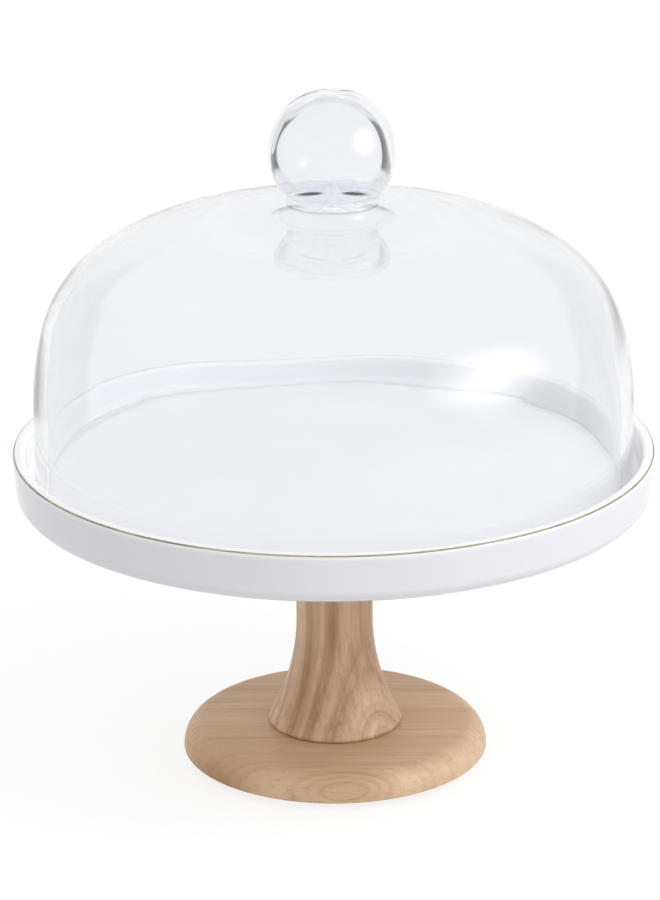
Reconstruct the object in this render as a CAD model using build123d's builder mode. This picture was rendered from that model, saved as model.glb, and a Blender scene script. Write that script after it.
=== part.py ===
from build123d import *

import os
from math import atan2, cos, degrees, radians, sin, sqrt, tan

# Cheese dome: a glass bell with a hollow ball knob, which lifts off a rimmed ceramic plate
# on a turned wooden pedestal. Millimetres, +Z up, origin at the centre of the surface that
# the object stands on. Every turned piece is a section in the XZ plane turned about Z.

# ---- Driving dimensions --------------------------------------------------------------

# Heights of the stack, from the table up
pad_thickness = 1.0
foot_thickness = 13.0
stem_length = 92.0
disc_thickness = 12.0
bond_thickness = 0.5
plate_thickness = 5.0
plate_depth = 11.5
skirt_height = 20.5
bell_gap = 0.2
bell_wall_height = 27.7

# Glass bell: its wall and the tangent arcs of its shoulder, as outer radius and the angle
# of the surface's normal where each arc ends. One more arc closes the crown.
bell_radius = 121.25
bell_thickness = 5.0
bell_bends = [(131.7, 14.0), (51.85, 58.1), (92.35, 85.4)]
bell_edge_rounding = 2.0

# Ball knob
ball_radius = 25.5
ball_thickness = 2.2
ball_height = 26.1
neck_fillet = 6.6
cavity_offset = 0.9
cavity_floor_height = 5.0
cavity_corner = 4.0

# Ceramic plate
plate_radius = 130.0
rim_thickness = 5.0
wall_lean = 4.0
rim_edge_radius = 1.6
rim_inner_rounding = 2.0
floor_corner = 2.8
skirt_rounding = 5.5
recess_radius = 112.0
recess_corner = 2.0
recess_lip = 1.2

# Gilt line on the plate's rim, as angles on the rim's rounded outer edge
gilt_start = 22.0
gilt_end = 72.0
gilt_depth = 0.4

# Wooden pedestal
disc_radius = 50.0
disc_rounding = 2.5
stem_radius = 15.7
flare_height = 46.0
flare_radius = 88.0
stem_lip = 1.4
stem_top_chamfer = 0.6
foot_radius = 62.8
foot_shoulder_width = 8.3
foot_shoulder_height = 10.2
foot_undercut_width = 20.0

# Bond between the mounting disc and the plate
bond_outer_radius = 46.0
bond_inner_radius = 14.0

# Fasteners
thread_clearance = 0.05
part_clearance = 0.5
disc_insert_radius = 6.0
disc_insert_length = 10.0
disc_insert_flange_radius = 8.0
disc_insert_flange = 1.2
hanger_radius = 4.0
hanger_upper = 9.0
hanger_lower = 32.0
hanger_point = 4.0
pilot_extra = 2.0
stem_insert_radius = 5.0
stem_insert_length = 18.0
stem_insert_recess = 0.5
bolt_radius = 3.0
bolt_length = 28.0
bolt_head_radius = 5.25
bolt_head_height = 3.3
bolt_head_rounding = 1.8
socket_width = 4.0
socket_depth = 2.0
washer_radius = 9.0
washer_thickness = 1.6
counterbore_radius = 10.5
counterbore_depth = 7.0
thread_chamfer = 0.6

# Anti-slip pads
pad_radius = 6.5
pad_circle_radius = 36.0
pad_count = 4
pad_chamfer = 0.3

# ---- Heights and places worked out from them ------------------------------------------

foot_bottom = pad_thickness
foot_top = foot_bottom + foot_thickness
stem_top = foot_top + stem_length
disc_top = stem_top + disc_thickness
plate_underside = disc_top + bond_thickness
plate_floor = plate_underside + plate_thickness
rim_top = plate_floor + plate_depth
skirt_bottom = rim_top - skirt_height
bell_bottom = plate_floor + bell_gap
bell_wall_top = bell_bottom + bell_wall_height


def on_circle(centre, radius, angle):
    """Point of a circle in the section plane, at an angle in degrees from the radial axis."""
    return (centre[0] + radius * cos(radians(angle)), centre[1] + radius * sin(radians(angle)))


def bell_arcs():
    """Centre, radius, start angle and end angle of each outer arc, from the wall to the axis."""
    arcs = []
    start = (bell_radius, bell_wall_top)
    angle = 0.0
    for radius, end_angle in bell_bends:
        centre = on_circle(start, -radius, angle)
        arcs.append((centre, radius, angle, end_angle))
        start = on_circle(centre, radius, end_angle)
        angle = end_angle
    crown_radius = start[0] / cos(radians(angle))
    arcs.append((on_circle(start, -crown_radius, angle), crown_radius, angle, 90.0))
    return arcs


crown_centre, crown_radius = bell_arcs()[-1][:2]
crown_height = crown_centre[1] + crown_radius

# ---- Glass bell ------------------------------------------------------------------------

with BuildPart() as glass_dome:
    with BuildSketch(Plane.XZ):
        with BuildLine():
            for arc_centre, arc_radius, arc_start, arc_end in bell_arcs():
                CenterArc(arc_centre, arc_radius, arc_start, arc_end - arc_start)
                CenterArc(arc_centre, arc_radius - bell_thickness, arc_start, arc_end - arc_start)
            Line((0, crown_height), (0, crown_height - bell_thickness))
            Polyline(
                (bell_radius, bell_wall_top),
                (bell_radius, bell_bottom),
                (bell_radius - bell_thickness, bell_bottom),
                (bell_radius - bell_thickness, bell_wall_top),
            )
        make_face()
    revolve(axis=Axis.Z)
    fillet(glass_dome.edges().group_by(Axis.Z)[0], radius=bell_edge_rounding)
glass_dome.part.label = "glass_dome"

# ---- Ball knob: a hollow ball whose neck flows into the crown with one tangent arc ------
# The cavity is a sphere with a flat floor, set a little below the ball's centre.

ball_centre = (0.0, crown_height + ball_height)
crown_reach = crown_radius + neck_fillet
ball_reach = ball_radius + neck_fillet
centre_distance = ball_centre[1] - crown_centre[1]
neck_rise = (centre_distance**2 + crown_reach**2 - ball_reach**2) / (2 * centre_distance)
neck_centre = (sqrt(crown_reach**2 - neck_rise**2), crown_centre[1] + neck_rise)
ball_angle = degrees(atan2(neck_centre[1] - ball_centre[1], neck_centre[0]))
crown_angle = degrees(atan2(neck_rise, neck_centre[0]))
cavity_radius = ball_radius - ball_thickness
cavity_floor = crown_height + cavity_floor_height
cavity_centre = (0.0, ball_centre[1] - cavity_offset)
cavity_drop = cavity_centre[1] - cavity_floor
cavity_floor_radius = sqrt(cavity_radius**2 - cavity_drop**2)
cavity_angle = degrees(atan2(-cavity_drop, cavity_floor_radius))

with BuildPart() as ball_knob:
    with BuildSketch(Plane.XZ):
        with BuildLine():
            ball_side = CenterArc(ball_centre, ball_radius, ball_angle, 90 - ball_angle)
            CenterArc(neck_centre, neck_fillet, crown_angle + 180, ball_angle - crown_angle)
            crown_seat = CenterArc(crown_centre, crown_radius, crown_angle, 90 - crown_angle)
            Line(crown_seat @ 1, ball_side @ 1)
        make_face()
    revolve(axis=Axis.Z)
    with BuildSketch(Plane.XZ) as cavity_section:
        with BuildLine():
            cavity_side = CenterArc(cavity_centre, cavity_radius, cavity_angle, 90 - cavity_angle)
            Polyline(cavity_side @ 0, (0, cavity_floor), cavity_side @ 1)
        make_face()
        fillet(cavity_section.vertices().sort_by(Axis.X)[-1], cavity_corner)
    revolve(axis=Axis.Z, mode=Mode.SUBTRACT)
ball_knob.part.label = "ball_knob"

# ---- Gilt line: a band along the rim's outer edge, flat across, set into the glaze --------

rim_edge_centre = (plate_radius - rim_edge_radius, rim_top - rim_edge_radius)
gilt_seat_radius = rim_edge_radius - gilt_depth

with BuildPart() as gilt_rim_line:
    with BuildSketch(Plane.XZ):
        with BuildLine():
            Polyline(
                on_circle(rim_edge_centre, rim_edge_radius, gilt_start),
                on_circle(rim_edge_centre, rim_edge_radius, gilt_end),
                on_circle(rim_edge_centre, gilt_seat_radius, gilt_end),
                on_circle(rim_edge_centre, gilt_seat_radius, gilt_start),
                close=True,
            )
        make_face()
    revolve(axis=Axis.Z)
gilt_rim_line.part.label = "gilt_rim_line"

# ---- Ceramic plate: flat floor, upright rim, and a foot ring round a recessed underside ----

wall_start = on_circle(rim_edge_centre, rim_edge_radius, -wall_lean)
skirt_radius = wall_start[0] - (wall_start[1] - skirt_bottom) * tan(radians(wall_lean))
rim_inner_radius = plate_radius - rim_thickness

with BuildPart() as ceramic_plate:
    with BuildSketch(Plane.XZ) as plate_section:
        with BuildLine():
            lower_round = CenterArc(rim_edge_centre, rim_edge_radius, -wall_lean, gilt_start + wall_lean)
            upper_round = CenterArc(rim_edge_centre, rim_edge_radius, gilt_end, 90 - gilt_end)
            Line(lower_round @ 1, upper_round @ 0)
            Polyline(
                lower_round @ 0,
                (skirt_radius, skirt_bottom),
                (recess_radius, skirt_bottom),
                (recess_radius, plate_underside),
                (0, plate_underside),
                (0, plate_floor),
                (rim_inner_radius, plate_floor),
                (rim_inner_radius, rim_top),
                upper_round @ 1,
            )
        make_face()
        levels = plate_section.vertices().group_by(Axis.Y)
        recess_vertex = levels[1].sort_by(Axis.X)[-1]
        floor_vertex = levels[2].sort_by(Axis.X)[-1]
        rim_vertex = levels[-1].sort_by(Axis.X)[0]
        recess_edge, skirt_edge = levels[0].sort_by(Axis.X)
        fillet(recess_vertex, recess_corner)
        fillet(floor_vertex, floor_corner)
        fillet(rim_vertex, rim_inner_rounding)
        fillet(recess_edge, recess_lip)
        fillet(skirt_edge, skirt_rounding)
    revolve(axis=Axis.Z)
    add(gilt_rim_line.part, mode=Mode.SUBTRACT)
ceramic_plate.part.label = "ceramic_plate"

# ---- Silicone bond: a thin ring between the plate and the mounting disc --------------------

with BuildPart() as silicone_bond:
    with BuildSketch(Plane.XY.offset(disc_top)):
        Circle(bond_outer_radius)
        Circle(bond_inner_radius, mode=Mode.SUBTRACT)
    extrude(amount=bond_thickness)
silicone_bond.part.label = "silicone_bond"

# ---- Mounting disc: turned wood under the plate, bored for a flanged insert -----------------

with BuildPart() as mounting_disc:
    with BuildSketch(Plane.XY.offset(stem_top)):
        Circle(disc_radius)
    extrude(amount=disc_thickness)
    fillet(mounting_disc.edges(), radius=disc_rounding)
    with Locations((0, 0, disc_top)):
        CounterBoreHole(disc_insert_radius, disc_insert_flange_radius, disc_insert_flange)
mounting_disc.part.label = "mounting_disc"

# ---- Disc insert: flanged brass thread bush, pressed in from the plate's side ----------------

with BuildPart() as disc_insert:
    with BuildSketch(Plane.XY.offset(disc_top - disc_insert_flange)):
        Circle(disc_insert_flange_radius)
    extrude(amount=disc_insert_flange)
    with BuildSketch(Plane.XY.offset(disc_top - disc_insert_length)):
        Circle(disc_insert_radius)
    extrude(amount=disc_insert_length)
    with Locations((0, 0, disc_top)):
        Hole(hanger_radius + thread_clearance)
    chamfer(disc_insert.edges().group_by(Axis.Z)[0].sort_by(SortBy.RADIUS)[-1], thread_chamfer)
disc_insert.part.label = "disc_insert"

# ---- Stem: straight turned wood that flares into its foot --------------------------------------

flare_top = foot_top + flare_height
flare_angle = degrees(atan2(flare_height, sqrt(flare_radius**2 - flare_height**2)))
pilot_depth = hanger_lower + pilot_extra
insert_hole_depth = bolt_length - (foot_thickness - counterbore_depth) + pilot_extra

with BuildPart() as stem:
    with BuildSketch(Plane.XZ):
        with BuildLine():
            flare = CenterArc((stem_radius + flare_radius, flare_top), flare_radius, 180, flare_angle)
            Polyline(flare @ 1, (0, foot_top), (0, stem_top), (stem_radius, stem_top), flare @ 0)
        make_face()
    revolve(axis=Axis.Z)
    fillet(stem.edges().group_by(Axis.Z)[0], radius=stem_lip)
    chamfer(stem.edges().group_by(Axis.Z)[-1], stem_top_chamfer)
    with Locations((0, 0, stem_top)):
        Hole(hanger_radius, pilot_depth)
    with BuildSketch(Plane.XY.offset(foot_top)):
        Circle(stem_insert_radius)
    extrude(amount=insert_hole_depth, mode=Mode.SUBTRACT)
stem.part.label = "stem"

# ---- Hanger bolt: threaded into the stem below and the disc insert above -----------------------

with BuildPart() as hanger_bolt:
    with BuildSketch(Plane.XY.offset(stem_top - hanger_lower)):
        Circle(hanger_radius)
    extrude(amount=hanger_lower + hanger_upper)
    chamfer(hanger_bolt.edges().group_by(Axis.Z)[0], length=hanger_point, length2=hanger_radius / 2)
    chamfer(hanger_bolt.edges().group_by(Axis.Z)[-1], thread_chamfer)
hanger_bolt.part.label = "hanger_bolt"

# ---- Stem insert: brass thread bush in the stem's lower end ------------------------------------

with BuildPart() as stem_insert:
    with BuildSketch(Plane.XY.offset(foot_top + stem_insert_recess)):
        Circle(stem_insert_radius)
        Circle(bolt_radius + thread_clearance, mode=Mode.SUBTRACT)
    extrude(amount=stem_insert_length)
    chamfer(stem_insert.edges().group_by(Axis.Z)[-1].sort_by(SortBy.RADIUS)[-1], thread_chamfer)
stem_insert.part.label = "stem_insert"

# ---- Foot: thick turned disc, counterbored from below for its washer and bolt --------------------
# Its edge is a tall elliptical shoulder with a long shallow elliptical undercut below it.

foot_widest = foot_top - foot_shoulder_height
foot_undercut_height = foot_widest - foot_bottom
foot_flat_radius = foot_radius - foot_shoulder_width
foot_rest_radius = foot_radius - foot_undercut_width

with BuildPart() as foot_disc:
    with BuildSketch(Plane.XZ):
        with BuildLine():
            EllipticalCenterArc(
                (foot_flat_radius, foot_widest), foot_shoulder_width, foot_shoulder_height, 0, arc_size=90
            )
            EllipticalCenterArc(
                (foot_rest_radius, foot_widest), foot_undercut_width, foot_undercut_height, -90, arc_size=90
            )
            Polyline(
                (foot_flat_radius, foot_top),
                (0, foot_top),
                (0, foot_bottom),
                (foot_rest_radius, foot_bottom),
            )
        make_face()
    revolve(axis=Axis.Z)
    with Locations(Plane(origin=(0, 0, foot_bottom), z_dir=(0, 0, -1))):
        CounterBoreHole(bolt_radius + part_clearance, counterbore_radius, counterbore_depth)
foot_disc.part.label = "foot_disc"

# ---- Washer and bolt in the foot's counterbore --------------------------------------------------

washer_top = foot_bottom + counterbore_depth
washer_bottom = washer_top - washer_thickness

with BuildPart() as foot_washer:
    with BuildSketch(Plane.XY.offset(washer_bottom)):
        Circle(washer_radius)
        Circle(bolt_radius + part_clearance, mode=Mode.SUBTRACT)
    extrude(amount=washer_thickness)
foot_washer.part.label = "foot_washer"

with BuildPart() as foot_bolt:
    with BuildSketch(Plane.XY.offset(washer_bottom - bolt_head_height)):
        Circle(bolt_head_radius)
    extrude(amount=bolt_head_height)
    fillet(foot_bolt.edges().group_by(Axis.Z)[0], radius=bolt_head_rounding)
    with BuildSketch(Plane.XY.offset(washer_bottom)):
        Circle(bolt_radius)
    extrude(amount=bolt_length + washer_thickness)
    chamfer(foot_bolt.edges().group_by(Axis.Z)[-1], thread_chamfer)
    with BuildSketch(Plane.XY.offset(washer_bottom - bolt_head_height)):
        RegularPolygon(socket_width / 2, 6, major_radius=False)
    extrude(amount=socket_depth, mode=Mode.SUBTRACT)
foot_bolt.part.label = "foot_bolt"

# ---- Anti-slip pads: round rubber pads under the foot --------------------------------------------

with BuildPart() as foot_pads:
    with BuildSketch(Plane.XY):
        with PolarLocations(pad_circle_radius, pad_count):
            Circle(pad_radius)
    extrude(amount=pad_thickness)
    chamfer(foot_pads.edges().group_by(Axis.Z)[0], pad_chamfer)
foot_pads.part.label = "foot_pads"

# ---- One STEP file for each piece -----------------------------------------------------------------

os.makedirs("parts", exist_ok=True)
pieces = [
    glass_dome,
    ball_knob,
    gilt_rim_line,
    ceramic_plate,
    silicone_bond,
    mounting_disc,
    disc_insert,
    hanger_bolt,
    stem,
    stem_insert,
    foot_disc,
    foot_washer,
    foot_bolt,
    foot_pads,
]
for piece in pieces:
    export_step(piece.part, f"parts/{piece.part.label}.step")
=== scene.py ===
import math

import bmesh
import bpy
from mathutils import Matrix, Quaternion, Vector


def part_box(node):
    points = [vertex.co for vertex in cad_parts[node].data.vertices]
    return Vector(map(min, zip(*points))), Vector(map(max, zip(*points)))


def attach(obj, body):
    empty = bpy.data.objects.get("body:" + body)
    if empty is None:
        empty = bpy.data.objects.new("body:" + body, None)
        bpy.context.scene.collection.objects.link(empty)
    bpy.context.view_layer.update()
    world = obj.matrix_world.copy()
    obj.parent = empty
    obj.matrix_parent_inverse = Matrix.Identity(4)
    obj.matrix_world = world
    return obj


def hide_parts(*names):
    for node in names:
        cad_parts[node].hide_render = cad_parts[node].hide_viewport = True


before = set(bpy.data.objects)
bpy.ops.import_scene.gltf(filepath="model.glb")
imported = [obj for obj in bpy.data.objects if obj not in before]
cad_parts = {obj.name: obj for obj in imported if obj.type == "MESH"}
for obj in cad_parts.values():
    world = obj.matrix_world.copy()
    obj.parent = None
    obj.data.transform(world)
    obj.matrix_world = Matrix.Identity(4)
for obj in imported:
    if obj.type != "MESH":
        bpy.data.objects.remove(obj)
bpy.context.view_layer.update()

MM = 0.001
TURNS = 256  # faces round a turned piece
ARC_STEP = 3.0  # degrees between the points of a turned piece's arcs
TOUCHING = 1e-6  # points nearer than this are one


# ---- Outlines: lists of (radius, height) points with the solid on their left -------------


def arc(centre, radius, start, end, step=ARC_STEP):
    """Points along an arc, its angles in degrees from the radial axis."""
    count = max(2, round(abs(end - start) / step))
    angles = [math.radians(start + (end - start) * i / count) for i in range(count + 1)]
    return [(centre[0] + radius * math.cos(a), centre[1] + radius * math.sin(a)) for a in angles]


def ellipse(centre, width, height, start, end):
    """Points along an arc of an upright ellipse."""
    return [(centre[0] + width * x, centre[1] + height * z) for x, z in arc((0, 0), 1, start, end)]


def clean(points):
    """The same outline with points on the axis exactly there, and no point twice in a row."""
    kept = []
    for radius, height in points:
        point = (radius if radius > TOUCHING else 0.0, height)
        if not kept or math.dist(point, kept[-1]) > TOUCHING:
            kept.append(point)
    return kept


def rounded(corners):
    """Points along a closed outline. Each corner is (radius, height, rounding)."""
    points = []
    for i, (x, z, rounding) in enumerate(corners):
        here = Vector((x, z))
        if rounding == 0:
            points.append((x, z))
            continue
        before = (Vector(corners[i - 1][:2]) - here).normalized()
        after = (Vector(corners[(i + 1) % len(corners)][:2]) - here).normalized()
        half = before.angle(after) / 2
        centre = here + (before + after).normalized() * rounding / math.sin(half)
        first = here + before * rounding / math.tan(half) - centre
        last = here + after * rounding / math.tan(half) - centre
        start = math.degrees(math.atan2(first.y, first.x))
        turn = math.degrees(math.atan2(first.x * last.y - first.y * last.x, first.dot(last)))
        points += arc(centre, rounding, start, start + turn, 2 * ARC_STEP)
    return points


def lathe(name, outlines, ripple=None, lift=None):
    """A piece turned about Z from cleaned, closed outlines. A point on the axis becomes a single
    vertex. ripple(radius, height, turn) says how far a point moves outwards, lift how far up."""
    mesh = bmesh.new()
    for outline in outlines:
        rings = []
        for radius, height in outline:
            if radius == 0:
                top = height + (lift(0, height, 0) if lift else 0)
                rings.append([mesh.verts.new((0, 0, top))])
                continue
            ring = []
            for j in range(TURNS):
                turn = 2 * math.pi * j / TURNS
                reach = radius + (ripple(radius, height, turn) if ripple else 0)
                top = height + (lift(radius, height, turn) if lift else 0)
                point = (reach * math.cos(turn), reach * math.sin(turn), top)
                ring.append(mesh.verts.new(point))
            rings.append(ring)
        for low, high in zip(rings, rings[1:] + rings[:1]):
            for j in range(TURNS):
                k = (j + 1) % TURNS
                corners = [low[j % len(low)], low[k % len(low)]]
                corners += [high[k % len(high)], high[j % len(high)]]
                face = list(dict.fromkeys(corners))
                if len(face) > 2:
                    mesh.faces.new(face)
    data = bpy.data.meshes.new(name)
    mesh.to_mesh(data)
    mesh.free()
    data.shade_smooth()
    piece = bpy.data.objects.new(name, data)
    bpy.context.scene.collection.objects.link(piece)
    even = piece.modifiers.new("even_normals", "WEIGHTED_NORMAL")
    even.keep_sharp = True
    return piece


# ---- Node helpers ------------------------------------------------------------------------

SPAN_SOCKETS = ("From Min", "From Max", "To Min", "To Max")


class Nodes:
    """A material and short ways to add its nodes."""

    def __init__(self, name):
        self.material = bpy.data.materials.new(name)
        self.material.use_nodes = True
        self.tree = self.material.node_tree
        self.tree.nodes.clear()
        self.output = self.add("ShaderNodeOutputMaterial")
        self.shader = self.add("ShaderNodeBsdfPrincipled")
        self.link(self.shader.outputs[0], self.output.inputs["Surface"])

    def add(self, kind, **settings):
        node = self.tree.nodes.new(kind)
        for key, value in settings.items():
            setattr(node, key, value)
        return node

    def link(self, source, target):
        self.tree.links.new(source, target)

    def put(self, target, value):
        """A plain value, or another node's output."""
        if isinstance(value, bpy.types.NodeSocket):
            self.link(value, target)
        else:
            target.default_value = value

    def place(self):
        """The point in the object's own frame, in metres."""
        return self.add("ShaderNodeTexCoord").outputs["Object"]

    def parts(self, vector):
        """A vector's X, Y and Z outputs."""
        node = self.add("ShaderNodeSeparateXYZ")
        self.link(vector, node.inputs[0])
        return node.outputs

    def length(self, vector):
        node = self.add("ShaderNodeVectorMath", operation="LENGTH")
        self.link(vector, node.inputs[0])
        return node.outputs["Value"]

    def mapped(self, vector, scale=(1, 1, 1), shift=(0, 0, 0)):
        node = self.add("ShaderNodeMapping")
        self.link(vector, node.inputs["Vector"])
        node.inputs["Scale"].default_value = scale
        node.inputs["Location"].default_value = shift
        return node.outputs[0]

    def from_axis(self):
        """The point's distance from the object's Z axis."""
        return self.length(self.mapped(self.place(), scale=(1, 1, 0)))

    def noise(self, vector, scale, detail=3.0, roughness=0.5):
        node = self.add("ShaderNodeTexNoise")
        self.link(vector, node.inputs["Vector"])
        node.inputs["Scale"].default_value = scale
        node.inputs["Detail"].default_value = detail
        node.inputs["Roughness"].default_value = roughness
        return node.outputs["Fac"]

    def math(self, operation, first, second=0.0):
        node = self.add("ShaderNodeMath", operation=operation)
        self.put(node.inputs[0], first)
        self.put(node.inputs[1], second)
        return node.outputs[0]

    def span(self, value, low, high, to_low=0.0, to_high=1.0):
        """value mapped smoothly from low..high to to_low..to_high."""
        node = self.add("ShaderNodeMapRange", interpolation_type="SMOOTHSTEP")
        self.link(value, node.inputs["Value"])
        for key, number in zip(SPAN_SOCKETS, (low, high, to_low, to_high)):
            node.inputs[key].default_value = number
        return node.outputs["Result"]

    def blend(self, share, first, second):
        """A mix of two colours."""
        node = self.add("ShaderNodeMix", data_type="RGBA")
        self.put(node.inputs["Factor"], share)
        self.put(node.inputs[6], first)
        self.put(node.inputs[7], second)
        return node.outputs[2]

    def bump(self, height, distance, strength):
        node = self.add("ShaderNodeBump")
        self.link(height, node.inputs["Height"])
        node.inputs["Distance"].default_value = distance
        node.inputs["Strength"].default_value = strength
        self.link(node.outputs[0], self.shader.inputs["Normal"])

    def set(self, **values):
        for key, value in values.items():
            self.put(self.shader.inputs[key.replace("_", " ")], value)


def colour(red, green, blue):
    """An opaque colour, its parts linear."""
    return (red, green, blue, 1.0)


# ---- Materials ---------------------------------------------------------------------------

GLASS_TONE = colour(0.915, 0.922, 0.942)
STRAIGHT_TONE = colour(0.957, 0.960, 0.970)  # of the light that passes the neck without bending
PAINTED_SHADE_TONE = colour(0.001, 0.001, 0.0015)  # the colour of the painted shade on the glass's side-on walls and folds
EDGE_SHADE_BAND = (0.47, 0.53)  # from face-on at 0 to side-on at 1, where the painted shade on a wall starts
EDGE_SHADE_RISE = -0.1  # the rise of the normal on the walls that get the most painted shade
FOLD_SHADE_CLIMB = 0.347  # the slope upwards, away from y = 0, of the painted shade on a fold


def glass_material(name, unbent=None, edge_shade=0.0, level=None, fold_shades=None):
    """Clear blown glass, a little grey, with the faintest film.

    unbent: the share of the light that passes the neck without bending, and the radii and the
    heights between which it fades to none. None: no light does.
    edge_shade: how dark the painted shade is on walls seen nearly side-on from the air.
    level: how far the rise of a wall's normal is from EDGE_SHADE_RISE where the painted shade
    starts to fade, and where it ends.
    fold_shades: height, reach, half width and half height of a patch of painted shade on a fold
    either side of x = 0."""
    glass = Nodes(name)
    tone = GLASS_TONE
    place = glass.parts(glass.place())
    back = glass.add("ShaderNodeNewGeometry").outputs["Backfacing"]
    # Painted shade: walls seen nearly side-on from the air are darkened, most where their normal's
    # rise is near EDGE_SHADE_RISE.
    if edge_shade:
        rise = glass.parts(glass.add("ShaderNodeTexCoord").outputs["Normal"])["Z"]
        tilt = glass.math("ABSOLUTE", glass.math("SUBTRACT", rise, EDGE_SHADE_RISE))
        grazing = glass.add("ShaderNodeLayerWeight")
        grazing.inputs["Blend"].default_value = 0.5
        painted_edge_shade = glass.span(grazing.outputs["Facing"], *EDGE_SHADE_BAND)
        painted_edge_shade = glass.math("MULTIPLY", painted_edge_shade, glass.math("SUBTRACT", 1.0, back))
        painted_edge_shade = glass.math("MULTIPLY", painted_edge_shade, glass.span(tilt, *level, edge_shade, 0.0))
        tone = glass.blend(painted_edge_shade, tone, PAINTED_SHADE_TONE)
    # Painted shade: a dark patch on each fold of the cavity, either side of x = 0.
    if fold_shades:
        height, reach, half_width, half_height = fold_shades
        across = glass.math("SUBTRACT", glass.math("ABSOLUTE", place["X"]), reach)
        across = glass.math("DIVIDE", across, half_width)
        climb = glass.math("MULTIPLY", glass.math("ABSOLUTE", place["Y"]), FOLD_SHADE_CLIMB)
        up = glass.math("SUBTRACT", glass.math("SUBTRACT", place["Z"], climb), height)
        up = glass.math("DIVIDE", up, half_height)
        squares = glass.math("MULTIPLY", across, across), glass.math("MULTIPLY", up, up)
        inside = glass.span(glass.math("ADD", *squares), 0.2, 1.0, 1.0, 0.0)
        tone = glass.blend(glass.math("MULTIPLY", inside, back), tone, PAINTED_SHADE_TONE)
    film = glass.span(glass.noise(glass.place(), 28.0, 4.0), 0.52, 0.85, 0.0, 0.03)
    glass.set(Base_Color=tone, Transmission_Weight=0.97, IOR=1.5, Roughness=film)
    if unbent:
        share, radii, heights = unbent
        near = glass.span(glass.from_axis(), *radii, share, 0.0)
        low = glass.span(place["Z"], *heights, 1.0, 0.0)
        straight = glass.add("ShaderNodeBsdfTransparent")
        straight.inputs["Color"].default_value = STRAIGHT_TONE
        mix = glass.add("ShaderNodeMixShader")
        glass.link(glass.math("MULTIPLY", near, low), mix.inputs[0])
        glass.link(glass.shader.outputs[0], mix.inputs[1])
        glass.link(straight.outputs[0], mix.inputs[2])
        glass.link(mix.outputs[0], glass.output.inputs["Surface"])
    return glass.material


# Where the glaze's painted light and shade change: radii inside the rim where the painted light on
# the rim's inner wall and top starts and ends, and radii and depths below the rim where the painted
# shade of the skirt starts
LIT_RIM_START = (121.5 * MM, 123.5 * MM)
LIT_RIM_END = (126.0 * MM, 127.5 * MM)
SHADED_SKIRT_RADII = (127.6 * MM, 128.2 * MM)
SHADED_SKIRT_DEPTHS = (3.0 * MM, 1.6 * MM)


def glaze_material():
    """Glossy white glaze: a faint orange peel, soft pooling of tone, painted light whitening the
    rim's inner wall and top, painted shade greying the skirt below the rim, and a few fine
    pinholes."""
    glaze = Nodes("white_glaze")
    place = glaze.place()
    pooling = glaze.noise(place, 22.0, 3.0)
    tones = colour(0.825, 0.832, 0.857), colour(0.85, 0.856, 0.877)
    white = glaze.blend(glaze.span(pooling, 0.3, 0.7), *tones)
    # Painted light: the rim's inner wall and top are painted whiter.
    axis = glaze.from_axis()
    ends = glaze.span(axis, *LIT_RIM_END, 1.0, 0.0)
    lit_rim = glaze.math("MULTIPLY", glaze.span(axis, *LIT_RIM_START), ends)
    white = glaze.blend(lit_rim, white, colour(0.93, 0.93, 0.935))
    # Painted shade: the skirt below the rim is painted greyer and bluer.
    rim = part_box("ceramic_plate")[1].z
    below = glaze.span(glaze.parts(place)["Z"], *(rim - depth for depth in SHADED_SKIRT_DEPTHS), 1.0, 0.0)
    skirt = glaze.math("MULTIPLY", glaze.span(axis, *SHADED_SKIRT_RADII), below)
    white = glaze.blend(skirt, white, colour(0.785, 0.785, 0.83))
    specks = glaze.add("ShaderNodeTexVoronoi", feature="F1")
    glaze.link(place, specks.inputs["Vector"])
    specks.inputs["Scale"].default_value = 260.0
    speck = glaze.span(specks.outputs["Distance"], 0.035, 0.06, 1.0, 0.0)
    rare = glaze.span(glaze.noise(place, 90.0, 1.0), 0.62, 0.66)
    pinhole = glaze.math("MULTIPLY", speck, rare)
    pitted = glaze.blend(glaze.math("MULTIPLY", pinhole, 0.5), white, colour(0.42, 0.38, 0.33))
    glaze.set(
        Base_Color=pitted,
        Roughness=glaze.span(pooling, 0.25, 0.75, 0.09, 0.17),
        IOR=1.5,
    )
    peel = glaze.math("ADD", glaze.noise(place, 55.0, 2.0), glaze.math("MULTIPLY", pinhole, -0.6))
    glaze.bump(peel, 0.0004, 0.35)
    return glaze.material


def gilt_material():
    """Hand-laid gilt: brown-gold, thinner and darker in places, slightly brushed."""
    gilt = Nodes("gilt")
    place = gilt.place()
    wear = gilt.noise(place, 60.0, 5.0, 0.6)
    fine = gilt.noise(place, 900.0, 2.0)
    tones = colour(0.40, 0.33, 0.24), colour(0.20, 0.165, 0.125)
    gold = gilt.blend(gilt.span(wear, 0.35, 0.68), *tones)
    gilt.set(
        Base_Color=gilt.blend(gilt.span(fine, 0.4, 0.8, 0.0, 0.35), gold, colour(0.52, 0.45, 0.35)),
        Metallic=0.35,
        Roughness=gilt.span(fine, 0.2, 0.8, 0.28, 0.5),
    )
    gilt.bump(fine, 0.00008, 0.6)
    return gilt.material


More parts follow.
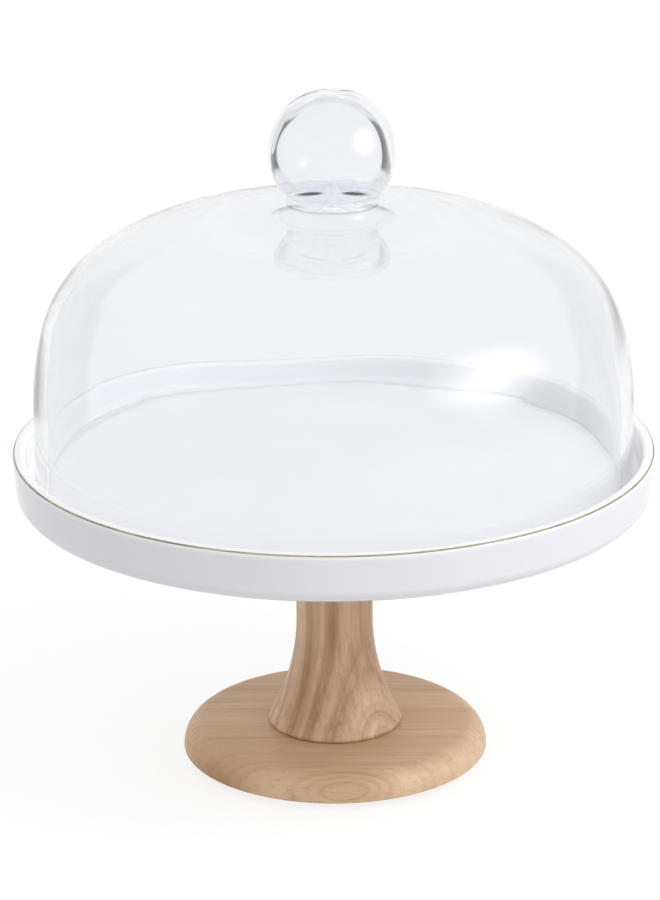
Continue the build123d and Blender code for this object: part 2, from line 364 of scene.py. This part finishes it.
def wood_material(name, axes, heart, ring_width, wander, contrast, fibre, figures_and_shade, streaks, tones):
    """Light open-pored hardwood, solid through the piece.

    axes: the two directions across the grain and the one along it. heart: where the tree's centre
    lies, across the grain. ring_width: a year's growth. wander: how far the rings stray. contrast
    and fibre: how strongly rings and fibres show.
    figures_and_shade: places where the rings swell, each with its centre, half size, rise, added
    contrast and darkness; where a place only darkens, the darkness is painted shade.
    strength. tones: the two colours of the plain wood."""
    wood = Nodes(name)
    split = wood.parts(wood.place())
    turned = wood.add("ShaderNodeCombineXYZ")
    for target, axis in zip("XYZ", axes):
        wood.link(split[axis], turned.inputs[target])
    place = turned.outputs[0]
    sway = wood.noise(wood.mapped(place, scale=(16.0, 16.0, 5.0)), 1.0, 3.0)
    bend = wood.math("MULTIPLY", wood.math("SUBTRACT", sway, 0.5), wander)
    sides = [wood.math("SUBTRACT", split[axis], middle) for axis, middle in zip(axes, heart)]
    square = wood.math("ADD", *(wood.math("MULTIPLY", side, side) for side in sides))
    tint_and_shade = 0.0
    for centre, size, rise, marked, darkness in figures_and_shade:
        scale = [1 / s for s in size]
        shift = [-c / s for c, s in zip(centre, size)]
        away = wood.length(wood.mapped(wood.place(), scale, shift))
        swell_and_shade = wood.span(away, 0.0, 1.0, 1.0, 0.0)
        bend = wood.math("ADD", bend, wood.math("MULTIPLY", swell_and_shade, rise))
        contrast = wood.math("ADD", contrast, wood.math("MULTIPLY", swell_and_shade, marked))
        tint_and_shade = wood.math("ADD", tint_and_shade, wood.math("MULTIPLY", swell_and_shade, darkness))
    reach = wood.math("ADD", wood.math("SQRT", square), bend)
    ring = wood.math("FRACT", wood.math("DIVIDE", reach, ring_width))
    late = wood.math("POWER", ring, 2.2)
    apart = wood.add("ShaderNodeCombineXYZ")
    wood.link(reach, apart.inputs["X"])
    bands = wood.noise(apart.outputs[0], 0.45 / ring_width, 4.0, 0.6)
    strong = wood.span(bands, 0.38, 0.66)
    streak = wood.noise(wood.mapped(place, scale=(420.0, 420.0, 11.0)), 1.0, 4.0, 0.65)
    broad = wood.noise(wood.mapped(place, scale=(30.0, 30.0, 7.0)), 1.0, 3.0)
    pores = wood.noise(wood.mapped(place, scale=(1700.0, 1700.0, 110.0)), 1.0, 1.0)
    pores = wood.span(pores, 0.64, 0.72)
    pale = wood.blend(wood.span(broad, 0.3, 0.7), *tones)
    # The figures' darkness: a brown tint of the wood, and painted shade where a figure only
    # darkens.
    tinted = wood.blend(tint_and_shade, pale, colour(0.47, 0.26, 0.13))
    banded = wood.blend(wood.math("MULTIPLY", strong, contrast), tinted, colour(0.42, 0.235, 0.11))
    for distance, half_width, strength in streaks:
        off = wood.math("ABSOLUTE", wood.math("SUBTRACT", reach, distance))
        dark = wood.span(off, 0.0, half_width, strength, 0.0)
        patchy = wood.math("MULTIPLY", dark, wood.span(streak, 0.25, 0.6, 0.45, 1.0))
        patchy = wood.math("MULTIPLY", patchy, wood.span(broad, 0.36, 0.6, 0.35, 1.0))
        banded = wood.blend(patchy, banded, colour(0.27, 0.15, 0.07))
    line = wood.math("MULTIPLY", wood.math("MULTIPLY", late, strong), contrast)
    ringed = wood.blend(line, banded, colour(0.34, 0.16, 0.07))
    fibred = wood.blend(wood.span(streak, 0.45, 0.75, 0.0, fibre), ringed, colour(0.30, 0.18, 0.10))
    wood.set(
        Base_Color=wood.blend(wood.math("MULTIPLY", pores, 0.25), fibred, colour(0.17, 0.09, 0.05)),
        Roughness=wood.span(streak, 0.3, 0.7, 0.38, 0.56),
        Specular_IOR_Level=0.35,
    )
    relief = wood.math("SUBTRACT", wood.math("MULTIPLY", streak, 0.35), pores)
    wood.bump(relief, 0.00012, 0.6)
    return wood.material


def steel_material():
    """Zinc-plated steel, lightly brushed and mottled."""
    steel = Nodes("zinc_steel")
    place = steel.place()
    mottle = steel.noise(place, 300.0, 4.0)
    steel.set(
        Base_Color=steel.blend(mottle, colour(0.52, 0.53, 0.55), colour(0.66, 0.67, 0.68)),
        Metallic=1.0,
        Roughness=steel.span(mottle, 0.2, 0.8, 0.25, 0.45),
    )
    brushed = steel.noise(steel.mapped(place, scale=(900.0, 900.0, 4000.0)), 1.0, 2.0)
    steel.bump(brushed, 0.00003, 0.5)
    return steel.material


def brass_material():
    """Machined brass with fine turning lines."""
    brass = Nodes("insert_brass")
    place = brass.place()
    tarnish = brass.noise(place, 240.0, 3.0)
    brass.set(
        Base_Color=brass.blend(tarnish, colour(0.62, 0.45, 0.18), colour(0.78, 0.62, 0.30)),
        Metallic=1.0,
        Roughness=0.32,
    )
    lines = brass.noise(brass.mapped(place, scale=(60.0, 60.0, 3500.0)), 1.0, 1.0)
    brass.bump(lines, 0.00003, 0.5)
    return brass.material


def rubber_material(name, base):
    """Matt soft rubber or silicone with a fine grain."""
    rubber = Nodes(name)
    grain = rubber.noise(rubber.place(), 1800.0, 3.0)
    darker = tuple(0.85 * c for c in base[:3]) + (1.0,)
    rubber.set(
        Base_Color=rubber.blend(grain, base, darker),
        Roughness=rubber.span(grain, 0.2, 0.8, 0.6, 0.85),
    )
    rubber.bump(grain, 0.00005, 0.6)
    return rubber.material


# ---- Glass bell and knob: one blown surface ----------------------------------------------

GLASS = 5.0 * MM
WALL_HEIGHT = 27.7 * MM  # of the upright wall, below the bends
BENDS = [(131.7 * MM, 14.0), (51.85 * MM, 58.1), (92.35 * MM, 85.4)]  # radius and end angle
BELL_EDGE = 2.0 * MM  # the rounding at the bell's open edge
CROWN_STEPS = (0.5, 0.08)  # degrees between the points of the crown's outer and inner arc
NECK_FILLET = 6.6 * MM
BALL_GLASS = 2.2 * MM
CAVITY_DROP = 0.9 * MM  # the cavity's centre is this far below the ball's
CAVITY_MARGIN = 0.3 * MM  # outside the cavity's radius, faces still take its material
LOBE_START = 0.62  # how far down the cavity its floor starts to rise between two lobes
LOBE_WIDTH = 4.6 * MM
LOBE_RISE = 6.5 * MM
UNEVENNESS = 0.18 * MM
# Painted shade on the folds in the cavity's lower wall
FOLD_SHADE_DEPTH = 43.3 * MM  # below the knob's top
FOLD_SHADE_SIZES = (8.4 * MM, 6.6 * MM, 0.9 * MM)  # reach, half width and half height
# The glass that lets light pass unbent: the share of the light, and the radii where it fades
NECK_UNBENT = (0.6, (24.2 * MM, 25.8 * MM))
CROWN_UNBENT = (1.0, (30.0 * MM, 46.0 * MM))
UNBENT_HEIGHTS = (6.0 * MM, 10.0 * MM)  # where it fades, above the knob's foot


def bell_arcs(low, high):
    """Centre, radius, start and end angle of the bell's outer arcs, as they are in the frame."""
    arcs = []
    start = (high.x, low.z + WALL_HEIGHT)
    angle = 0.0
    for radius, end in BENDS:
        centre = arc(start, -radius, angle, angle, 1)[0]
        arcs.append((centre, radius, angle, end))
        start = arc(centre, radius, end, end, 1)[0]
        angle = end
    crown = start[0] / math.cos(math.radians(angle))
    arcs.append((arc(start, -crown, angle, angle, 1)[0], crown, angle, 90.0))
    return arcs


def ease(value, low, high):
    """Smoothly from 0 at low to 1 at high."""
    share = min(1.0, max(0.0, (value - low) / (high - low)))
    return share * share * (3 - 2 * share)


def blown(height, turn):
    """The slow unevenness of blown glass, on inner surfaces only."""
    slow = math.sin(2 * turn + 31 * height) + 0.7 * math.sin(3 * turn - 57 * height + 1.3)
    quick = 0.5 * math.sin(5 * turn + 90 * height + 0.4) + 0.35 * math.sin(9 * turn - 140 * height)
    return UNEVENNESS * (slow + quick)


def glass_bell(materials):
    """Bell and knob. materials are for the outer surface, the bell's inside and the cavity."""
    low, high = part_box("glass_dome")
    knob_low, knob_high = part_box("ball_knob")
    ball = knob_high.x
    ball_centre = (0.0, knob_high.z - ball)
    arcs = bell_arcs(low, high)
    crown_centre, crown = arcs[-1][:2]
    crown_top = crown_centre[1] + crown

    reach = crown + NECK_FILLET
    apart = ball_centre[1] - crown_centre[1]
    rise = (apart**2 + reach**2 - (ball + NECK_FILLET) ** 2) / (2 * apart)
    neck = (math.sqrt(reach**2 - rise**2), crown_centre[1] + rise)
    ball_angle = math.degrees(math.atan2(neck[1] - ball_centre[1], neck[0]))
    crown_angle = math.degrees(math.atan2(rise, neck[0]))

    edge_height = low.z + BELL_EDGE
    outer = arc((high.x - BELL_EDGE, edge_height), BELL_EDGE, -90, 0, 15)
    for centre, radius, start, end in arcs[:-1]:
        outer += arc(centre, radius, start, end)
    outer += arc(crown_centre, crown, arcs[-1][2], crown_angle, CROWN_STEPS[0])
    outer += arc(neck, NECK_FILLET, crown_angle + 180, ball_angle + 180, 4)
    outer += arc(ball_centre, ball, ball_angle, 90, 2)

    inner = []
    for centre, radius, start, end in reversed(arcs):
        step = CROWN_STEPS[1] if radius == crown else ARC_STEP
        inner += arc(centre, radius - GLASS, end, start, step)
    inner += arc((high.x - GLASS + BELL_EDGE, edge_height), BELL_EDGE, 180, 270, 15)
    cavity_centre = (0.0, ball_centre[1] - CAVITY_DROP)
    cavity_radius = ball - BALL_GLASS
    cavity = clean(arc(cavity_centre, cavity_radius, 90, -90, 2))

    def uneven(radius, height, turn):
        return blown(height, turn) if (radius, height) in walls else 0

    def lobes(radius, height, turn):
        if (radius, height) in hollow:
            depth = (cavity_centre[1] - height) / cavity_radius
            side = radius * math.cos(turn) / LOBE_WIDTH
            return LOBE_RISE * ease(depth, LOBE_START, 1) * math.exp(-side * side)
        return 0

    hollow = set(cavity)
    walls = hollow.union(inner)
    bell = lathe("glass_bell", [clean(outer + inner), cavity], uneven, lobes)
    for material in materials:
        bell.data.materials.append(material)
    cavity_middle = Vector((0, 0, cavity_centre[1]))
    for face in bell.data.polygons:
        outwards = face.normal.dot(face.center * Vector((1, 1, 0)))
        if (face.center - cavity_middle).length < cavity_radius + CAVITY_MARGIN:
            face.material_index = 2
        elif outwards < 0 and face.center.z < crown_top - GLASS / 2:
            face.material_index = 1
    bell.visible_shadow = False
    bell.visible_diffuse = False
    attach(bell, "dome")
    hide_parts("glass_dome", "ball_knob")


# ---- Plate and its gilt line -------------------------------------------------------------

RIM_THICKNESS = 5.0 * MM
PLATE_DEPTH = 11.5 * MM
PLATE_THICKNESS = 5.0 * MM
WALL_LEAN = math.radians(4.0)
RIM_EDGE = 1.6 * MM
RECESS_RADIUS = 112.0 * MM
GILT_START, GILT_END = 33.0, 60.0  # degrees round the rim's outer rounding
GILT_PROUD = 0.04 * MM


def plate(material):
    low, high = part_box("ceramic_plate")
    lean = math.tan(WALL_LEAN)
    corner = high.x - RIM_EDGE + RIM_EDGE * (1 / math.cos(WALL_LEAN) + lean)
    skirt = corner - (high.z - low.z) * lean
    floor = high.z - PLATE_DEPTH
    under = floor - PLATE_THICKNESS
    outline = rounded(
        [
            (0, under, 0),
            (RECESS_RADIUS, under, 2.0 * MM),
            (RECESS_RADIUS, low.z, 1.2 * MM),
            (skirt, low.z, 5.5 * MM),
            (corner, high.z, RIM_EDGE),
            (high.x - RIM_THICKNESS, high.z, 2.0 * MM),
            (high.x - RIM_THICKNESS, floor, 2.8 * MM),
            (0, floor, 0),
        ]
    )
    piece = lathe("glazed_plate", [clean(outline)])
    piece.data.materials.append(material)
    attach(piece, "stand")
    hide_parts("ceramic_plate")


def gilt_line(material):
    low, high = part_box("ceramic_plate")
    centre = (high.x - RIM_EDGE, high.z - RIM_EDGE)
    face = arc(centre, RIM_EDGE + GILT_PROUD, GILT_START, GILT_END, 5)
    seat = arc(centre, RIM_EDGE - 3 * GILT_PROUD, GILT_END, GILT_START, 10)
    piece = lathe("gilt_line", [clean(face + seat)])
    piece.data.materials.append(material)
    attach(piece, "stand")
    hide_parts("gilt_rim_line")


# ---- Wooden pedestal ---------------------------------------------------------------------

STEM_RADIUS = 15.7 * MM
FLARE_HEIGHT = 46.0 * MM
FLARE_RADIUS = 88.0 * MM
STEM_LIP = 1.4 * MM
STEM_CHAMFER = 0.6 * MM
FOOT_SHOULDER = (8.3 * MM, 10.2 * MM)  # width and height
FOOT_UNDERCUT = 20.0 * MM
COUNTERBORE = (10.5 * MM, 7.0 * MM)  # radius and depth
BOLT_HOLE = 3.5 * MM
DISC_EDGE = 2.5 * MM

# Where the rings swell, and where painted shade darkens the wood (centre, half size, rise, added
# contrast, darkness), and the darker growth (distance from the heart, half width, strength)
STEM_FIGURES_AND_SHADE = [
    ((0.019, -0.020, 0.016), (0.014, 0.016, 0.018), 7.0 * MM, 0.2, 0.0),
    # Painted shade on the stem's lower left, partly a brown tint of the wood.
    ((-0.018, -0.018, 0.034), (0.018, 0.022, 0.040), 0.0, 0.1, 0.55),
]
STEM_STREAKS = [
    (196.0 * MM, 3.6 * MM, 0.7),
    (204.6 * MM, 4.0 * MM, 0.8),
    (213.0 * MM, 5.0 * MM, 0.5),
]
FOOT_FIGURES_AND_SHADE = [
    ((0.005, -0.061, 0.0085), (0.027, 0.020, 0.0095), 9.0 * MM, 0.5, 0.25),
    # Painted shade on the foot's front left: a broad dark brown blotch.
    ((-0.050, -0.040, 0.004), (0.034, 0.034, 0.012), 3.0 * MM, 0.1, 1.0),
]
FOOT_STREAKS = [
    (151.5 * MM, 2.0 * MM, 0.12),
    (113.0 * MM, 6.0 * MM, 0.08),
    (64.0 * MM, 5.0 * MM, 0.1),
]
STEM_WOOD = {
    "axes": "XYZ",
    "heart": (-0.150, 0.125),
    "ring_width": 2.9 * MM,
    "wander": 5.0 * MM,
    "contrast": 0.42,
    "fibre": 0.4,
    "figures_and_shade": STEM_FIGURES_AND_SHADE,
    "streaks": STEM_STREAKS,
    "tones": (colour(0.80, 0.58, 0.405), colour(0.71, 0.475, 0.305)),
}
FOOT_WOOD = {
    "axes": "YZX",
    "heart": (0.090, -0.012),
    "ring_width": 3.4 * MM,
    "wander": 8.0 * MM,
    "contrast": 0.16,
    "fibre": 0.2,
    "figures_and_shade": FOOT_FIGURES_AND_SHADE,
    "streaks": FOOT_STREAKS,
    "tones": (colour(0.75, 0.54, 0.355), colour(0.66, 0.44, 0.265)),
}


def wooden(name, outline, node, material):
    """A turned piece of the pedestal, in the place of a CAD node."""
    piece = lathe(name, [clean(outline)])
    piece.data.materials.append(material)
    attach(piece, "stand")
    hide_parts(node)


def stem(material):
    low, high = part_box("stem")
    flare = (STEM_RADIUS + FLARE_RADIUS, low.z + FLARE_HEIGHT)
    lip_height = low.z + STEM_LIP
    lip_side = flare[0] - math.sqrt((FLARE_RADIUS + STEM_LIP) ** 2 - (flare[1] - lip_height) ** 2)
    lip_angle = math.degrees(math.atan2(flare[1] - lip_height, flare[0] - lip_side))
    outline = [(0, low.z)]
    outline += arc((lip_side, lip_height), STEM_LIP, -90, lip_angle, 15)
    outline += arc(flare, FLARE_RADIUS, 180 + lip_angle, 180, 1)
    outline += [(STEM_RADIUS, high.z - STEM_CHAMFER), (STEM_RADIUS - STEM_CHAMFER, high.z)]
    outline += [(0, high.z)]
    wooden("turned_stem", outline, "stem", material)


def foot(material):
    low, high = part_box("foot_disc")
    bore, depth = COUNTERBORE
    width, height = FOOT_SHOULDER
    widest = high.z - height
    outline = [(BOLT_HOLE, low.z + depth), (bore, low.z + depth), (bore, low.z)]
    outline += ellipse((high.x - FOOT_UNDERCUT, widest), FOOT_UNDERCUT, widest - low.z, -90, 0)
    outline += ellipse((high.x - width, widest), width, height, 0, 90)
    outline += [(BOLT_HOLE, high.z)]
    wooden("turned_foot", outline, "foot_disc", material)


def disc(material):
    low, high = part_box("mounting_disc")
    corners = [(high.x, low.z, DISC_EDGE), (high.x, high.z, DISC_EDGE)]
    outline = rounded([(0, low.z, 0), *corners, (0, high.z, 0)])
    wooden("turned_disc", outline, "mounting_disc", material)


# ---- Studio ------------------------------------------------------------------------------

CAMERA_LENS = 157.8  # millimetres
CAMERA_SENSOR = 36.0  # millimetres, along the picture's long side
CAMERA_DISTANCE = 1.602
CAMERA_RISE = math.radians(19.14)
CAMERA_ROLL = math.radians(-0.33)
AIM = Vector((-0.0015, 0.0006, 0.1317))
FLOOR_GLOW = 0.80
FLOOR_THROW = (0.38, 0.48)  # on the object's far side from the window, and on its near side
WORLD_SEEN = 1.0
WORLD_LIGHT = 0.83
# Name, place, target, width, height, power in watts, and the kinds of ray that miss it. The
# window is for reflections, and the smaller light before it for what shines through the glass.
SOFTBOXES = [
    ("window", (1.46, -0.66, 0.9), (0, 0, 0.18), 2.1, 1.8, 82.0, ("diffuse", "transmission")),
    ("through", (1.42, -0.64, 0.88), (0, 0, 0.18), 0.9, 0.8, 6.0, ("diffuse", "glossy")),
    ("overhead", (1.0, -0.6, 1.5), (0, 0, 0.12), 1.4, 1.4, 47.0, ("glossy", "transmission")),
    ("side", (1.2, -0.95, 0.55), (0, 0, 0.12), 1.4, 1.4, 13.0, ("glossy", "transmission")),
]


def camera():
    data = bpy.data.cameras.new("camera")
    data.lens = CAMERA_LENS
    data.sensor_width = CAMERA_SENSOR
    data.clip_start = 0.05
    eye = bpy.data.objects.new("camera", data)
    bpy.context.scene.collection.objects.link(eye)
    back = Vector((0, -math.cos(CAMERA_RISE), math.sin(CAMERA_RISE)))
    eye.location = AIM + back * CAMERA_DISTANCE
    roll = Quaternion((0, 0, 1), CAMERA_ROLL)
    eye.rotation_euler = (back.to_track_quat("Z", "Y") @ roll).to_euler()
    bpy.context.scene.camera = eye


def floor():
    """A pale sheet. What it throws on the object is brighter on the side of the window."""
    mesh = bmesh.new()
    bmesh.ops.create_grid(mesh, x_segments=8, y_segments=8, size=8.0)
    data = bpy.data.meshes.new("floor")
    mesh.to_mesh(data)
    mesh.free()
    ground = bpy.data.objects.new("floor", data)
    bpy.context.scene.collection.objects.link(ground)
    paper = Nodes("floor")
    fibre = paper.noise(paper.place(), 900.0, 2.0)
    thrown = paper.span(paper.parts(paper.place())["X"], -0.5, 0.7, *FLOOR_THROW)
    bounced = paper.add("ShaderNodeLightPath").outputs["Is Diffuse Ray"]
    change = paper.math("MULTIPLY", bounced, paper.math("SUBTRACT", thrown, FLOOR_GLOW))
    paper.set(
        Base_Color=paper.blend(fibre, colour(0.21, 0.21, 0.21), colour(0.23, 0.23, 0.23)),
        Roughness=0.9,
        Specular_IOR_Level=0.1,
        Emission_Color=colour(1.0, 1.0, 1.0),
        Emission_Strength=paper.math("ADD", change, FLOOR_GLOW),
    )
    ground.data.materials.append(paper.material)


def softbox(name, place, target, width, height, power, hidden_from):
    """A light that fades towards its edges. hidden_from names the kinds of ray that miss it."""
    light = bpy.data.lights.new(name, "AREA")
    light.shape = "RECTANGLE"
    light.size = width
    light.size_y = height
    light.energy = power
    light.use_nodes = True
    tree = light.node_tree
    emission = tree.nodes["Emission"]
    sheet = tree.nodes.new("ShaderNodeNewGeometry")
    middle = tree.nodes.new("ShaderNodeVectorMath")
    middle.operation = "DISTANCE"
    middle.inputs[1].default_value = (0.5, 0.5, 0.0)
    tree.links.new(sheet.outputs["Parametric"], middle.inputs[0])
    fade = tree.nodes.new("ShaderNodeMapRange")
    fade.interpolation_type = "SMOOTHSTEP"
    for key, number in zip(SPAN_SOCKETS, (0.0, 0.5, 1.0, 0.0)):
        fade.inputs[key].default_value = number
    tree.links.new(middle.outputs["Value"], fade.inputs["Value"])
    tree.links.new(fade.outputs["Result"], emission.inputs["Strength"])
    box = bpy.data.objects.new(name, light)
    bpy.context.scene.collection.objects.link(box)
    box.location = place
    box.rotation_euler = (Vector(target) - Vector(place)).to_track_quat("-Z", "Y").to_euler()
    for kind in hidden_from:
        setattr(box, f"visible_{kind}", False)


def studio():
    """A white world, as bright as WORLD_LIGHT on matt surfaces, and the softboxes."""
    world = bpy.data.worlds.new("studio")
    world.use_nodes = True
    bpy.context.scene.world = world
    tree = world.node_tree
    background = tree.nodes["Background"]
    background.inputs["Color"].default_value = colour(1.0, 1.0, 1.0)
    seen = tree.nodes.new("ShaderNodeMapRange")
    rays = tree.nodes.new("ShaderNodeLightPath")
    tree.links.new(rays.outputs["Is Diffuse Ray"], seen.inputs["Value"])
    seen.inputs["To Min"].default_value = WORLD_SEEN
    seen.inputs["To Max"].default_value = WORLD_LIGHT
    tree.links.new(seen.outputs["Result"], background.inputs["Strength"])
    for settings in SOFTBOXES:
        softbox(*settings)
    bpy.context.scene.view_settings.view_transform = "Standard"


# ---- The object --------------------------------------------------------------------------

knob_low, knob_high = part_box("ball_knob")
fade = [knob_low.z + height for height in UNBENT_HEIGHTS]
fold_shades = (knob_high.z - FOLD_SHADE_DEPTH, *FOLD_SHADE_SIZES)
# The inside and the cavity get painted shade on walls seen side-on, and the cavity also on its
# folds.
glass_bell(
    [
        glass_material("clear_glass", (*NECK_UNBENT, fade)),
        glass_material("clear_glass_inside", (*CROWN_UNBENT, fade), edge_shade=0.2, level=(0.3, 0.5)),
        glass_material("clear_glass_cavity", edge_shade=1.0, level=(0.40, 0.52), fold_shades=fold_shades),
    ]
)
plate(glaze_material())
gilt_line(gilt_material())

stem(wood_material("stem_wood", **STEM_WOOD))
foot_wood = wood_material("foot_wood", **FOOT_WOOD)
foot(foot_wood)
disc(foot_wood)

brass = brass_material()
steel = steel_material()
for node, material in (
    ("silicone_bond", rubber_material("silicone", colour(0.80, 0.80, 0.78))),
    ("foot_pads", rubber_material("pad_rubber", colour(0.72, 0.70, 0.66))),
    ("disc_insert", brass),
    ("stem_insert", brass),
    ("hanger_bolt", steel),
    ("foot_bolt", steel),
    ("foot_washer", steel),
):
    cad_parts[node].data.materials.clear()
    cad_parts[node].data.materials.append(material)

camera()
floor()
studio()
